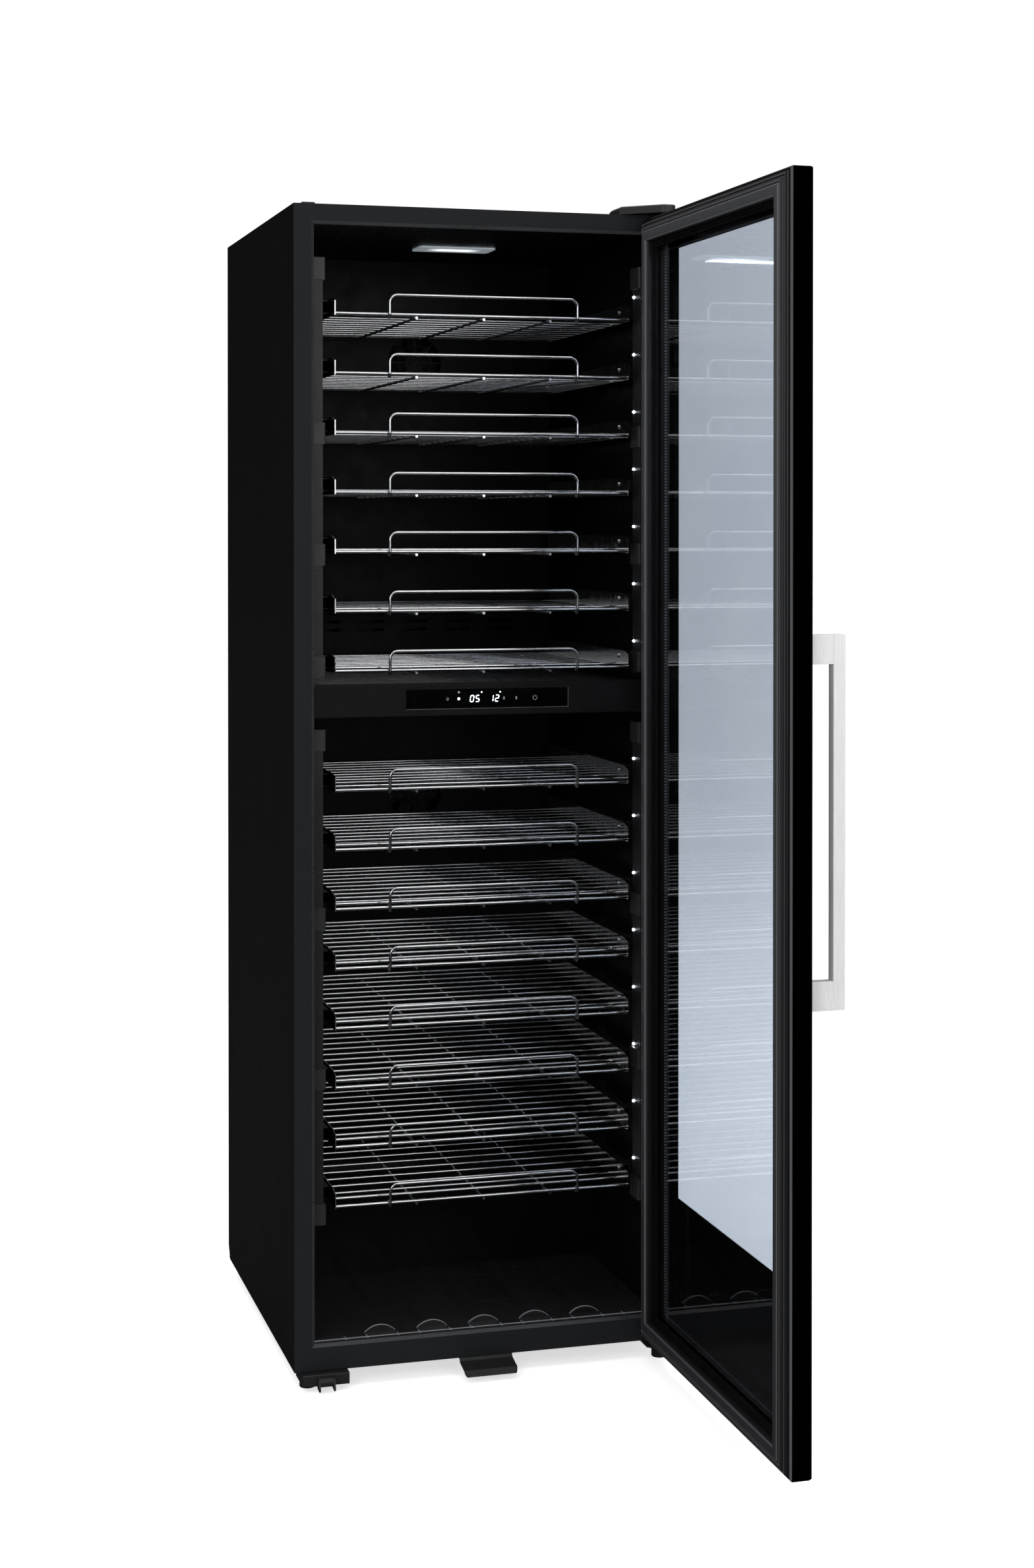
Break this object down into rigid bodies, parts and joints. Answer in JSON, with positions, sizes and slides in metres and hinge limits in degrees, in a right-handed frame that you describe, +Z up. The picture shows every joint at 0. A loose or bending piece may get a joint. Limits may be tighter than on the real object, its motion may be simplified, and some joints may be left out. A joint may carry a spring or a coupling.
{
  "type": "wine cooler",
  "caption": "Tall free-standing wine cooler with two cooling zones, sliding chrome wire shelves, LED light columns and a hinged glass door shown open.",
  "frame": {"origin": "on the floor, at the middle of the underside of the left front foot", "axes": "+Z up, -Y out of the front of the cabinet, +X towards the hinge side; the door is modelled open at 90 degrees"},
  "size_m": [0.6275, 1.2125, 1.772],
  "materials": {
    "side_sheet": "satin",
    "front_sheet": "satin",
    "galvanised": "satin",
    "foam": "matte",
    "liner_plastic": "satin",
    "black_plastic": "matte",
    "display_plastic": "gloss",
    "circuit_board": "satin",
    "lamp_plastic": "satin",
    "led_plastic": "gloss",
    "rail_plastic": "satin",
    "shelf_wire": "polished",
    "fin_aluminium": "satin",
    "compressor_paint": "gloss",
    "condenser_paint": "satin",
    "frame_plastic": "satin",
    "door_glass": "polished",
    "spacer_aluminium": "satin",
    "gasket_rubber": "matte",
    "handle_metal": "brushed",
    "bracket_steel": "satin",
    "foot_plastic": "satin"
  },
  "bodies": {
    "cabinet": {"left_side_panel": "side_sheet", "right_side_panel": "side_sheet", "top_panel": "front_sheet", "front_bottom_rail": "front_sheet", "throat_trim": "black_plastic", "base_plate": "galvanised", "back_panel": "galvanised", "insulation_foam": "foam", "inner_liner": "liner_plastic", "zone_divider": "liner_plastic", "control_fascia": "liner_plastic", "control_window": "display_plastic", "control_board": "circuit_board", "ceiling_lamps": "lamp_plastic", "light_columns": "black_plastic", "column_clips": "black_plastic", "led_lenses": "led_plastic", "shelf_rails": "rail_plastic", "bottle_tray": "liner_plastic", "air_duct_covers": "liner_plastic", "evaporators": "fin_aluminium", "fan_motors": "black_plastic", "compressor": "compressor_paint", "drip_tray": "black_plastic", "condenser": "condenser_paint", "rear_grille": "black_plastic", "power_inlet": "black_plastic", "hinge_brackets": "bracket_steel", "top_caps": "black_plastic", "spare_hinge_seat": "black_plastic", "door_support_ramp": "black_plastic", "roller_brackets": "galvanised"},
    "door": {"door_frame": "frame_plastic", "hinge_bushes": "black_plastic", "door_outer_glass": "door_glass", "door_inner_glass": "door_glass", "glass_spacer": "spacer_aluminium", "door_gasket": "gasket_rubber", "door_handle": "handle_metal"},
    "shelf_01": {"shelf_01": "shelf_wire"},
    "shelf_02": {"shelf_02": "shelf_wire"},
    "shelf_03": {"shelf_03": "shelf_wire"},
    "shelf_04": {"shelf_04": "shelf_wire"},
    "shelf_05": {"shelf_05": "shelf_wire"},
    "shelf_06": {"shelf_06": "shelf_wire"},
    "shelf_07": {"shelf_07": "shelf_wire"},
    "shelf_08": {"shelf_08": "shelf_wire"},
    "shelf_09": {"shelf_09": "shelf_wire"},
    "shelf_10": {"shelf_10": "shelf_wire"},
    "shelf_11": {"shelf_11": "shelf_wire"},
    "shelf_12": {"shelf_12": "shelf_wire"},
    "shelf_13": {"shelf_13": "shelf_wire"},
    "shelf_14": {"shelf_14": "shelf_wire"},
    "shelf_15": {"shelf_15": "shelf_wire"},
    "upper_fan": {"upper_fan": "black_plastic"},
    "lower_fan": {"lower_fan": "black_plastic"},
    "foot_left": {"foot_left": "foot_plastic"},
    "foot_right": {"foot_right": "foot_plastic"},
    "rear_roller_left": {"rear_roller_left": "black_plastic"},
    "rear_roller_right": {"rear_roller_right": "black_plastic"}
  },
  "joints": [
    {"name": "door_hinge", "type": "hinge", "parent": "cabinet", "child": "door", "pos_m": [0.5435, -0.055, 0.892], "axis": [0, 0, 1], "range_deg": [-90, 25]},
    {"name": "shelf_01_slide", "type": "slide", "parent": "cabinet", "child": "shelf_01", "axis": [0, -1, 0], "range_m": [0, 0.28]},
    {"name": "shelf_02_slide", "type": "slide", "parent": "cabinet", "child": "shelf_02", "axis": [0, -1, 0], "range_m": [0, 0.28]},
    {"name": "shelf_03_slide", "type": "slide", "parent": "cabinet", "child": "shelf_03", "axis": [0, -1, 0], "range_m": [0, 0.28]},
    {"name": "shelf_04_slide", "type": "slide", "parent": "cabinet", "child": "shelf_04", "axis": [0, -1, 0], "range_m": [0, 0.28]},
    {"name": "shelf_05_slide", "type": "slide", "parent": "cabinet", "child": "shelf_05", "axis": [0, -1, 0], "range_m": [0, 0.28]},
    {"name": "shelf_06_slide", "type": "slide", "parent": "cabinet", "child": "shelf_06", "axis": [0, -1, 0], "range_m": [0, 0.28]},
    {"name": "shelf_07_slide", "type": "slide", "parent": "cabinet", "child": "shelf_07", "axis": [0, -1, 0], "range_m": [0, 0.28]},
    {"name": "shelf_08_slide", "type": "slide", "parent": "cabinet", "child": "shelf_08", "axis": [0, -1, 0], "range_m": [0, 0.28]},
    {"name": "shelf_09_slide", "type": "slide", "parent": "cabinet", "child": "shelf_09", "axis": [0, -1, 0], "range_m": [0, 0.28]},
    {"name": "shelf_10_slide", "type": "slide", "parent": "cabinet", "child": "shelf_10", "axis": [0, -1, 0], "range_m": [0, 0.28]},
    {"name": "shelf_11_slide", "type": "slide", "parent": "cabinet", "child": "shelf_11", "axis": [0, -1, 0], "range_m": [0, 0.28]},
    {"name": "shelf_12_slide", "type": "slide", "parent": "cabinet", "child": "shelf_12", "axis": [0, -1, 0], "range_m": [0, 0.28]},
    {"name": "shelf_13_slide", "type": "slide", "parent": "cabinet", "child": "shelf_13", "axis": [0, -1, 0], "range_m": [0, 0.28]},
    {"name": "shelf_14_slide", "type": "slide", "parent": "cabinet", "child": "shelf_14", "axis": [0, -1, 0], "range_m": [0, 0.28]},
    {"name": "shelf_15_slide", "type": "slide", "parent": "cabinet", "child": "shelf_15", "axis": [0, -1, 0], "range_m": [0, 0.28]},
    {"name": "upper_fan_spin", "type": "hinge", "parent": "cabinet", "child": "upper_fan", "pos_m": [0.2745, 0.478, 1.56], "axis": [0, 1, 0], "continuous": true},
    {"name": "lower_fan_spin", "type": "hinge", "parent": "cabinet", "child": "lower_fan", "pos_m": [0.2745, 0.478, 0.83], "axis": [0, 1, 0], "continuous": true},
    {"name": "foot_left_turn", "type": "hinge", "parent": "cabinet", "child": "foot_left", "pos_m": [0, 0, 0.01], "axis": [0, 0, 1], "continuous": true},
    {"name": "foot_right_turn", "type": "hinge", "parent": "cabinet", "child": "foot_right", "pos_m": [0.549, -0.015, 0.01], "axis": [0, 0, 1], "continuous": true},
    {"name": "rear_roller_left_roll", "type": "hinge", "parent": "cabinet", "child": "rear_roller_left", "pos_m": [0.0165, 0.561, 0.012], "axis": [1, 0, 0], "continuous": true},
    {"name": "rear_roller_right_roll", "type": "hinge", "parent": "cabinet", "child": "rear_roller_right", "pos_m": [0.5325, 0.561, 0.012], "axis": [1, 0, 0], "continuous": true}
  ]
}
